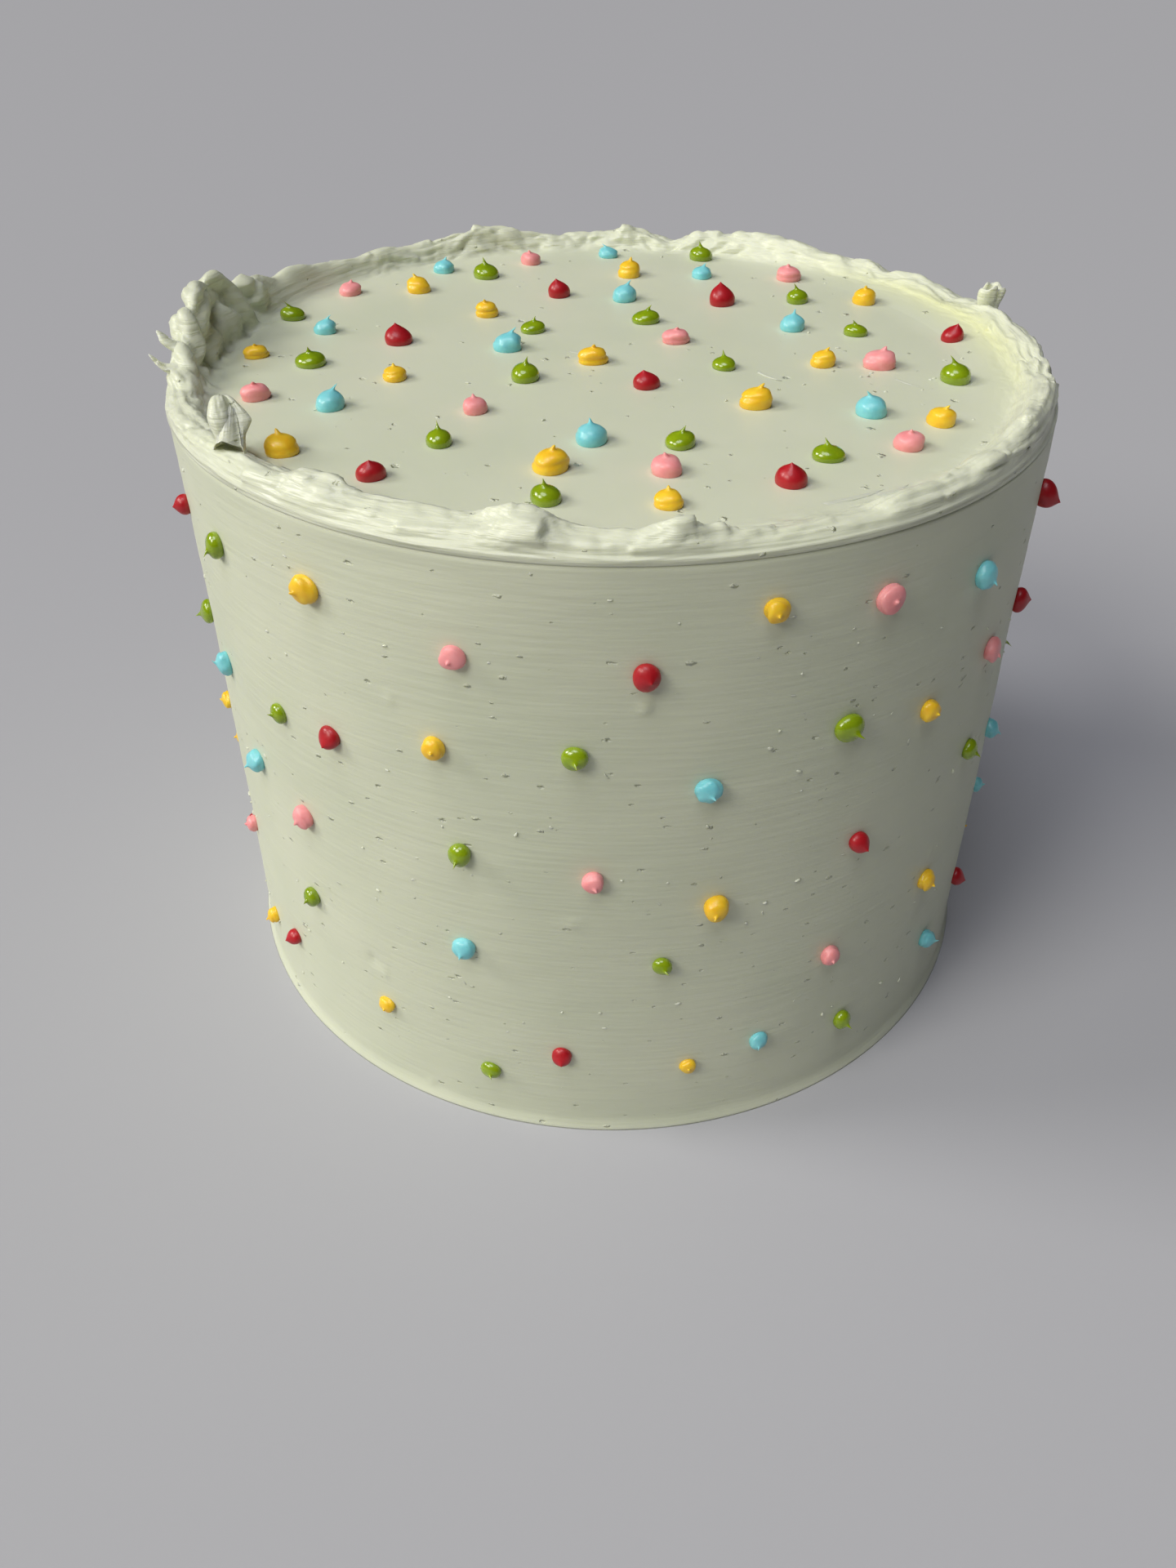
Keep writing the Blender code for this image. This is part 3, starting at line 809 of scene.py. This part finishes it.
def horn_surface(path, turn, share):
    """A flattened tube along a smooth path, whose size falls to almost nothing at its tip."""
    middle = spline_weights(len(path), share) @ path
    ahead = np.gradient(middle, axis=0)
    ahead = ahead / np.linalg.norm(ahead, axis=1, keepdims=True)
    flatwise = np.cross(ahead, np.array([0.0, 0.0, 1.0]))
    flatwise = flatwise / np.linalg.norm(flatwise, axis=1, keepdims=True)
    upright = np.cross(flatwise, ahead)
    size = 0.5 * CURL_THICKNESS * (1.15 * (1 - share) ** 0.8 + 0.06)
    wide = flatwise[:, None] * (1.3 * np.cos(turn))[None, :, None]
    tall = upright[:, None] * (0.7 * np.sin(turn))[None, :, None]
    return middle[:, None] + (wide + tall) * size[:, None, None]


def joined_mesh(name, meshes):
    """Makes one mesh of several, and takes its normals out afresh."""
    gathered = bmesh.new()
    for mesh in meshes:
        gathered.from_mesh(mesh)
        bpy.data.meshes.remove(mesh)
    bmesh.ops.recalc_face_normals(gathered, faces=gathered.faces)
    made = bpy.data.meshes.new(name)
    gathered.to_mesh(made)
    gathered.free()
    made.shade_smooth()
    return made


horns = []
for path in CURL_HORNS:
    horn_turn = np.arange(HORN_SIDES) * 2 * np.pi / HORN_SIDES
    horn = horn_surface(np.array(path), horn_turn, np.linspace(0, 1, HORN_RINGS))
    horns.append(skinned_mesh("horn", in_the_lip(horn, CURL_BEARING, (TOP_RADIUS, TOP_LEVEL))))
show_scrap(joined_mesh("curl", horns))

# The crumbs: bits of icing that the scraper dragged along and left stuck to the wall and the top, and a
# few thin smears on the top. They are the same buttercream, and most lie along the way the scraper went.
CRUMBS_ON_WALL = 300
CRUMBS_ON_TOP = 40
CRUMB_SEED = 12
CRUMB_SIDES = 8
CRUMB_LENGTH = (0.0004, 0.0015)
CRUMB_WIDTH = (0.0003, 0.0008)
CRUMB_RISE = (0.00014, 0.00044)
CRUMB_BEND = (-0.0002, 0.0002)
CRUMB_TURN = 38
CRUMB_FRESH = 0.10
CRUMB_HEIGHTS = (0.006, 0.144)
# On the top, half of the crumbs lie all over, and half in a patch at the right: middle and spread of its
# bearing and of its distance from the middle of the cake
TOP_REACH = 0.084
PATCH_BEARING = (348, 11)
PATCH_REACH = (0.068, 0.009)
FURTHEST_REACH = 0.085
SMEAR_RISE = 0.00022
SMEAR_BEND = 0.0006
# Longer smears on the top: x, y, length, width, turn in degrees
SMEARS = (
    (-0.0072, 0.0022, 0.0090, 0.0010, -24),
    (0.0334, -0.0120, 0.0066, 0.0009, -56),
    (0.0634, -0.0166, 0.0080, 0.0009, -50),
    (0.0420, -0.0742, 0.0120, 0.0016, 24),
    (0.0500, -0.0712, 0.0070, 0.0012, 30),
)


def crumb_surface(sizes, turn, share):
    """Low domes: an ellipse that shrinks as the root of one less the height squared, bent a little along
    its length. Sizes are length, width, rise, bend and ragged phase, one row for each crumb."""
    length, width, rise, bend, phase = (sizes[:, i][:, None, None] for i in range(5))
    size = np.sqrt(np.maximum(0, 1 - np.maximum(share, 0) ** 2))[None, :, None]
    ragged = 1 + 0.22 * np.sin(2 * turn[None, None] + phase) + 0.14 * np.sin(3 * turn[None, None] + 2 * phase)
    u = 0.5 * length * size * ragged * np.cos(turn)[None, None]
    v = 0.5 * width * size * ragged * np.sin(turn)[None, None] + bend * (2 * u / length) ** 2
    return u, v, rise * share[None, :, None] + 0 * u


draw = np.random.default_rng(CRUMB_SEED)
crumb_count = CRUMBS_ON_WALL + CRUMBS_ON_TOP
crumb_sizes = np.stack([
    draw.uniform(*CRUMB_LENGTH, crumb_count),
    draw.uniform(*CRUMB_WIDTH, crumb_count),
    draw.uniform(*CRUMB_RISE, crumb_count),
    draw.uniform(*CRUMB_BEND, crumb_count),
    draw.uniform(0, 6, crumb_count),
], axis=1)
smear_sizes = np.array([(length, width, SMEAR_RISE, SMEAR_BEND, 1.0) for _, _, length, width, _ in SMEARS])
turns = np.radians(draw.normal(0, CRUMB_TURN, crumb_count))
wall_bearings = draw.uniform(0, 360, CRUMBS_ON_WALL)
wall_heights = draw.uniform(*CRUMB_HEIGHTS, CRUMBS_ON_WALL)
half = CRUMBS_ON_TOP // 2
top_bearings = np.radians(np.concatenate([
    draw.uniform(0, 360, half), draw.normal(*PATCH_BEARING, CRUMBS_ON_TOP - half),
]))
top_reaches = np.concatenate([
    TOP_REACH * np.sqrt(draw.uniform(0, 1, half)), draw.normal(*PATCH_REACH, CRUMBS_ON_TOP - half),
])
top_reaches = np.minimum(top_reaches, FURTHEST_REACH)

# Each crumb's foot, and its directions along, across and out of the surface that it sticks to
angle = np.radians(wall_bearings)
wall_feet = place(wall_bearings, wall_radius(wall_bearings, wall_heights) - 0.00006, wall_heights)
wall_out = np.stack([np.cos(angle), np.sin(angle), 0 * angle], axis=-1)
wall_along = np.stack([-np.sin(angle), np.cos(angle), 0 * angle], axis=-1)
top_feet = np.stack([
    np.concatenate([top_reaches * np.cos(top_bearings), [row[0] for row in SMEARS]]),
    np.concatenate([top_reaches * np.sin(top_bearings), [row[1] for row in SMEARS]]),
    np.full(CRUMBS_ON_TOP + len(SMEARS), TOP_LEVEL - 0.00003),
], axis=-1)
upright = np.array([0.0, 0.0, 1.0])
feet = np.concatenate([wall_feet, top_feet])
out = np.concatenate([wall_out, np.tile(upright, (len(top_feet), 1))])
along = np.concatenate([wall_along, np.tile(np.array([1.0, 0.0, 0.0]), (len(top_feet), 1))])
across = np.cross(out, along)
lie = np.concatenate([turns, np.radians([row[4] for row in SMEARS])])[:, None]
along, across = along * np.cos(lie) + across * np.sin(lie), across * np.cos(lie) - along * np.sin(lie)
crumb_turn = np.arange(CRUMB_SIDES) * 2 * np.pi / CRUMB_SIDES
crumb_share = np.array([-0.3, 0.25, 0.6, 0.85, 0.97])
u, v, w = crumb_surface(np.concatenate([crumb_sizes, smear_sizes]), crumb_turn, crumb_share)
crumbs = feet[:, None, None] + u[..., None] * along[:, None, None] + v[..., None] * across[:, None, None]
crumbs = crumbs + w[..., None] * out[:, None, None]
show_scrap(skinned_mesh("crumbs", crumbs), CRUMB_FRESH)

# The dots: dots of coloured buttercream piped straight on to the icing through a small round nozzle.
# Each is a soft drop drawn to a nib as the nozzle was pulled away. They stand in loose rings on the top
# and in loose rows round the wall, where they are smaller towards the foot.
DOT_WIDTH_LOW = 0.0045
DOT_WIDTH_HIGH = 0.0056
DOT_WIDTH_TOP = 0.0062
DOT_HEIGHT = 0.72
DOT_GIRTH = 0.93
DOT_UNEVEN = 0.14
NIB_LEAN = 0.22
DOT_DRIFT_SCALE = 420.0
DOT_GRAIN_SCALE = 1500.0
DOT_SEED = 5
# Rings on the top: count, radius, bearing of the first, seed, colours in order
TOP_RINGS = (
    (1, 0.005, 213, 2464, "Y"),
    (7, 0.023, 178, 9381, "BGRGPGG"),
    (12, 0.047, 109, 12219, "RYRYPBGYYBRB"),
    (15, 0.065, 353, 28043, "PGGBYGYBGBGYPGB"),
    (19, 0.079, 182, 30057, "YPYRGYRPYGRYPGBPBPG"),
)
TOP_STRAY = 0.0055
# Rows on the wall: count, height, bearing of the first, seed, colours in order
WALL_ROWS = (
    (25, 0.022, 336, 14936, "RBGBYRGYRY"),
    (16, 0.049, 318, 1122, "YPGBGP"),
    (20, 0.076, 338, 2983, "BGRYPGPBY"),
    (25, 0.104, 339, 11520, "RPYGBGYRGBG"),
    (21, 0.133, 338, 10279, "RBPYRPYGRPGBY"),
)
STRAY_ALONG = 4.0
STRAY_UP = 0.0065


def ring_places(count, radius, first, seed):
    """Bearings and radii of a ring of dots that stray from their even places."""
    draw = random.Random(seed)
    for i in range(count):
        turn = math.radians(first + 360 * i / count) + TOP_STRAY * draw.uniform(-1, 1) / max(radius, 0.010)
        yield math.degrees(turn), radius + TOP_STRAY * draw.uniform(-1, 1)


def row_places(count, height, first, seed):
    """Bearings and heights of a row of dots that stray from their even places."""
    draw = random.Random(seed)
    for i in range(count):
        bearing = first - 360 * i / count + STRAY_ALONG * draw.uniform(-1, 1)
        yield bearing, height + STRAY_UP * draw.uniform(-1, 1)


def dot_sizes(width, draw):
    """Width, height, turn and stretch of one dot, each a little uneven."""
    width = width * (1 + DOT_UNEVEN * draw.uniform(-1, 1))
    height = DOT_HEIGHT * width * (1 + DOT_UNEVEN * draw.uniform(-1, 1))
    turn = draw.uniform(0, 2 * math.pi)
    return width, height, turn, 1 + 0.5 * DOT_UNEVEN * draw.uniform(-1, 1)


# Every dot: colour, foot, the way out, the way up, and its width, height, turn and stretch
northward = np.array([0.0, 1.0, 0.0])
dots = []
draw = random.Random(DOT_SEED)
for count, reach, first, seed, colours in TOP_RINGS:
    for i, (bearing, radius) in enumerate(ring_places(count, reach, first, seed)):
        foot = place(np.float64(bearing), radius, TOP_LEVEL)
        sizes = dot_sizes(DOT_WIDTH_TOP, draw)
        dots.append((colours[i % len(colours)], foot, upright, northward, sizes))
draw = random.Random(DOT_SEED)
for count, level, first, seed, colours in WALL_ROWS:
    for i, (bearing, height) in enumerate(row_places(count, level, first, seed)):
        width = DOT_WIDTH_LOW + (DOT_WIDTH_HIGH - DOT_WIDTH_LOW) * height / TOP_LEVEL
        foot = place(np.float64(bearing), wall_radius(bearing, height), height)
        out = np.array([math.cos(math.radians(bearing)), math.sin(math.radians(bearing)), 0])
        dots.append((colours[i % len(colours)], foot, out, upright, dot_sizes(width, draw)))


def dot_surface(profile, kind, sizes, out, up, foot):
    """A profile turned about the way out, pinched by folds that wind round it, with the seam of the coil
    climbing once round it, uneven in plan, and drawn to a nib that leans, bends and, on the wall, droops.
    How strong each of these is differs from dot to dot by the sine of its own turn times a number."""
    width, height, turn, stretch = sizes
    reach, level = profile
    vary = [math.sin(turn * k) for k in (3.1, 5.3, 7.7, 11.9)]
    angle = np.arange(kind["sides"]) * 2 * np.pi / kind["sides"]
    high = np.clip(level, 0, 1)[:, None]
    wind = angle[None] + turn * 3 + kind["twist"] * (1 + 0.3 * vary[0]) * high
    belly = np.sin(np.pi * np.minimum(high * 1.3, 1))
    pinch = 1 + kind["folds"] * (1 + 0.6 * vary[1]) * np.sin(kind["count"] * wind) * belly
    plan = 1 + 0.035 * np.cos(2 * angle + turn * 5)[None] + 0.020 * np.cos(3 * angle + turn * 9)[None]
    climb = ((angle + turn * 7) % (2 * np.pi) / (2 * np.pi))[None]
    seam = (high - 0.16 - 0.30 * climb) / 0.055
    groove = 1 - kind["groove"] * (1 + 0.5 * vary[2]) * np.sin(np.pi * climb) ** 0.5 * np.exp(-(seam**2))
    radius = reach[:, None] * width * pinch * groove * plan
    bent = 1 + kind["bend"] * np.maximum(high - 0.6, 0) * 4
    lean = NIB_LEAN * width * high**2 * (0.7 + 0.3 * vary[3]) * bent
    droop = 0.10 * width * high**1.5 * abs(up[2])
    across = np.cross(up, out)
    sideways = radius * np.cos(angle)[None] * stretch + lean * math.cos(turn)
    upwards = radius * np.sin(angle)[None] + lean * math.sin(turn) - droop
    drawn = level[:, None] * height * (1 + 0.06 * np.cos(angle + turn * 4)[None] * belly)
    return foot + sideways[..., None] * across + upwards[..., None] * up + drawn[..., None] * out


def dot_profile(points, rings):
    """Reach and level up a dot from the points of its outline, evenly along their curve."""
    curve = spline_weights(len(points), np.linspace(0, 1, rings)) @ np.array(points)
    return np.maximum(DOT_GIRTH * curve[:, 0], 0.006), curve[:, 1]


def dot_piece(name, letter, kind, material):
    """All the dots of one colour as one mesh."""
    profile = dot_profile(kind["outline"], kind["rings"])
    stacks = [
        dot_surface(profile, kind, sizes, out, up, foot)
        for colour, foot, out, up, sizes in dots
        if colour == letter
    ]
    show(skinned_mesh(name, np.stack(stacks)), material)


def dot_material(name, light, deep, roughness, coat):
    """Coloured buttercream: a tone that drifts, fine bubbles in its relief, and its own gloss."""
    material = bpy.data.materials.new(name)
    material.use_nodes = True
    tree = material.node_tree
    surface = tree.nodes["Principled BSDF"]
    where = new_node(tree, "ShaderNodeTexCoord")
    tone = new_node(
        tree, "ShaderNodeGroup",
        {"Vector": where.outputs["Object"], "Light": light, "Deep": deep, "Scale": DOT_DRIFT_SCALE},
        node_tree=drift,
    )
    grain = new_noise(tree, where.outputs["Object"], DOT_GRAIN_SCALE, 2.0)
    wear = new_range(tree, grain, (0.0, 1.0), (roughness - 0.06, roughness + 0.06))
    bump = new_node(tree, "ShaderNodeBump", {"Strength": 0.35, "Distance": 0.0001, "Height": grain})
    fill(tree, surface, {
        "Base Color": tone.outputs["Colour"], "Roughness": wear,
        "Normal": bump.outputs["Normal"], "Metallic": 0.0, "Coat Weight": coat, "Coat Roughness": 0.12,
        "Subsurface Weight": 0.35, "Subsurface Radius": (1.0, 0.6, 0.4), "Subsurface Scale": 0.0012,
    })
    return material


# Red: stiff and smooth, a low cone with round shoulders and a short point
RED = {
    "outline": [
        (0.42, -0.12), (0.485, 0.0), (0.51, 0.14), (0.50, 0.30), (0.44, 0.46), (0.33, 0.60),
        (0.20, 0.71), (0.09, 0.80), (0.03, 0.86), (0.006, 0.89),
    ],
    "rings": 20, "sides": 24, "folds": 0.02, "count": 2, "twist": 0.6, "groove": 0.0, "bend": 0.0,
}
red = dot_material("red_buttercream", (0.50, 0.012, 0.020, 1.0), (0.40, 0.006, 0.012, 1.0), 0.38, 0.10)
dot_piece("dots_red", "R", RED, red)

# Pink: soft and round-shouldered with a thick short nib, and a fold that winds round it
PINK = {
    "outline": [
        (0.43, -0.12), (0.50, 0.0), (0.53, 0.14), (0.53, 0.30), (0.48, 0.46), (0.38, 0.57),
        (0.25, 0.63), (0.13, 0.67), (0.085, 0.73), (0.05, 0.80), (0.006, 0.84),
    ],
    "rings": 22, "sides": 28, "folds": 0.05, "count": 3, "twist": 2.2, "groove": 0.07, "bend": 0.4,
}
pink = dot_material("pink_buttercream", (0.98, 0.39, 0.39, 1.0), (0.92, 0.31, 0.32, 1.0), 0.42, 0.10)
dot_piece("dots_pink", "P", PINK, pink)

# Yellow: in two coils, one on the other, with a groove between them and a small blunt nib
YELLOW = {
    "outline": [
        (0.43, -0.12), (0.495, 0.0), (0.52, 0.13), (0.51, 0.29), (0.47, 0.44), (0.39, 0.56),
        (0.27, 0.64), (0.14, 0.69), (0.08, 0.75), (0.045, 0.84), (0.006, 0.88),
    ],
    "rings": 24, "sides": 28, "folds": 0.05, "count": 3, "twist": 2.4, "groove": 0.10, "bend": 0.4,
}
yellow = dot_material("yellow_buttercream", (0.99, 0.64, 0.035, 1.0), (0.94, 0.54, 0.018, 1.0), 0.36, 0.15)
dot_piece("dots_yellow", "Y", YELLOW, yellow)

# Green: runny and glossy, a low round drop with a thin needle of a nib
GREEN = {
    "outline": [
        (0.41, -0.12), (0.485, 0.0), (0.52, 0.12), (0.52, 0.25), (0.48, 0.38), (0.39, 0.50),
        (0.27, 0.58), (0.16, 0.64), (0.09, 0.71), (0.045, 0.82), (0.006, 0.98),
    ],
    "rings": 24, "sides": 24, "folds": 0.015, "count": 2, "twist": 0.8, "groove": 0.0, "bend": 0.3,
}
green = dot_material("green_buttercream", (0.29, 0.41, 0.006, 1.0), (0.22, 0.33, 0.004, 1.0), 0.20, 0.60)
dot_piece("dots_green", "G", GREEN, green)

# Blue: ridged by the nozzle, with a small nib that bends over
BLUE = {
    "outline": [
        (0.43, -0.12), (0.495, 0.0), (0.52, 0.13), (0.51, 0.29), (0.46, 0.44), (0.36, 0.56),
        (0.24, 0.64), (0.13, 0.70), (0.065, 0.77), (0.035, 0.86), (0.006, 0.92),
    ],
    "rings": 22, "sides": 32, "folds": 0.045, "count": 5, "twist": 1.4, "groove": 0.06, "bend": 0.7,
}
blue = dot_material("blue_buttercream", (0.26, 0.70, 0.74, 1.0), (0.19, 0.62, 0.68, 1.0), 0.36, 0.15)
dot_piece("dots_blue", "B", BLUE, blue)

# The studio: a pale floor, three soft lights from the left, the front left and above, and the camera where
# the photograph was taken from, looking down at the cake from the front.
FLOOR_HALF = 4.0
floor_mesh = bpy.data.meshes.new("floor")
corners = [(x * FLOOR_HALF, y * FLOOR_HALF, 0) for x, y in ((-1, -1), (1, -1), (1, 1), (-1, 1))]
floor_mesh.from_pydata(corners, [], [(0, 1, 2, 3)])
floor = bpy.data.objects.new("floor", floor_mesh)
bpy.context.scene.collection.objects.link(floor)
pale = bpy.data.materials.new("pale_floor")
pale.use_nodes = True
fill(pale.node_tree, pale.node_tree.nodes["Principled BSDF"], {
    "Base Color": (0.44, 0.44, 0.46, 1.0), "Roughness": 0.7,
})
floor_mesh.materials.append(pale)


def soft_light(name, azimuth, elevation, spread, strength, colour):
    """A light so far off that it is even all over, from an azimuth and an elevation, as wide as its spread
    in the sky, all in degrees."""
    light = bpy.data.lights.new(name, "SUN")
    light.angle = math.radians(spread)
    light.color = colour
    light.energy = strength
    lamp = bpy.data.objects.new(name, light)
    a, e = math.radians(azimuth), math.radians(elevation)
    lamp.location = (math.cos(a) * math.cos(e), math.sin(a) * math.cos(e), math.sin(e))
    lamp.rotation_euler = (math.pi / 2 - e, 0, a + math.pi / 2)
    bpy.context.scene.collection.objects.link(lamp)


soft_light("window", 176, 33, 20, 1.32, (1.0, 0.975, 0.94))
soft_light("room", 217, 38, 26, 1.45, (1.0, 0.970, 0.88))
soft_light("ceiling", 236, 74, 34, 1.22, (0.97, 0.985, 1.06))

# The room gives next to no light of its own, and shows behind the floor as a plain pale backdrop
world = bpy.data.worlds.new("pale_room")
world.use_nodes = True
room = world.node_tree
glimmer = room.nodes["Background"]
fill(room, glimmer, {"Color": (0.93, 0.95, 1.0, 1.0), "Strength": 0.02})
backdrop = new_node(room, "ShaderNodeBackground", {"Color": (0.43, 0.43, 0.45, 1.0), "Strength": 1.0})
seen = new_node(room, "ShaderNodeLightPath")
either = new_node(room, "ShaderNodeMixShader", {
    0: seen.outputs["Is Camera Ray"], 1: glimmer.outputs["Background"], 2: backdrop.outputs["Background"],
})
room.links.new(either.outputs["Shader"], room.nodes["World Output"].inputs["Surface"])
bpy.context.scene.world = world

# The camera: its lens from the focal length in pixels of a picture 1920 high, its place, and how far it
# looks down from level, in radians
SENSOR = 36
FOCAL_PIXELS = 1490.8
LONG_SIDE_PIXELS = 1920
EYE = (-0.00575, -0.27852, 0.24564)
EYE_TILT = 0.66787
camera = bpy.data.cameras.new("camera")
camera.sensor_width = SENSOR
camera.lens = SENSOR * FOCAL_PIXELS / LONG_SIDE_PIXELS
eye = bpy.data.objects.new("camera", camera)
eye.location = EYE
eye.rotation_euler = (math.pi / 2 - EYE_TILT, 0, 0)
bpy.context.scene.collection.objects.link(eye)
bpy.context.scene.camera = eye
bpy.context.scene.view_settings.view_transform = "Standard"
